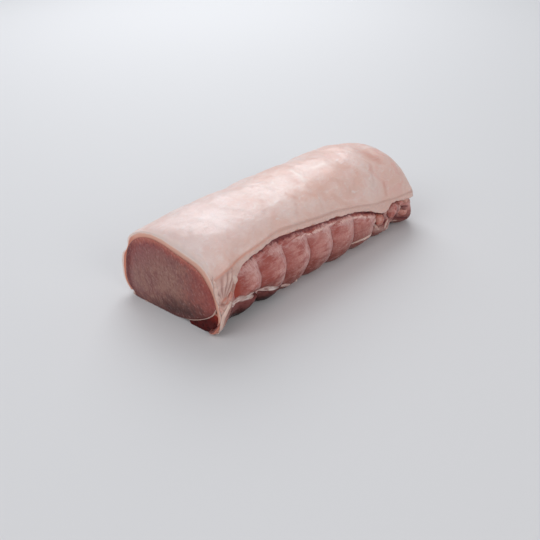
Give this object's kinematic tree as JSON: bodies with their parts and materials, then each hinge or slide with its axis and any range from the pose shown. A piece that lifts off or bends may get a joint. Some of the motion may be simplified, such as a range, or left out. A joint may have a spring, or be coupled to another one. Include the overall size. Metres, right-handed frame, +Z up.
{
  "type": "pork loin",
  "caption": "Raw boneless pork loin roast: a ribbed eye of meat under a cap of pale back fat, with cut ends and a dark strip muscle at one lower corner.",
  "frame": {"origin": "centre of the base of the loin's box, on the surface it lies on", "axes": "+X along the loin from the front cut face to the back one, +Y from the ribbed side to the far side, +Z up"},
  "size_m": [0.2266, 0.0954, 0.0662],
  "materials": {
    "lean_meat": "moist raw pork, fine grained",
    "back_fat": "pale pink fat, satin and slightly moist",
    "dark_meat": "wet dark red raw meat"
  },
  "bodies": {
    "root": {"eye_muscle": "lean_meat", "fat_cap": "back_fat", "strip_muscle": "dark_meat"}
  },
  "joints": []
}
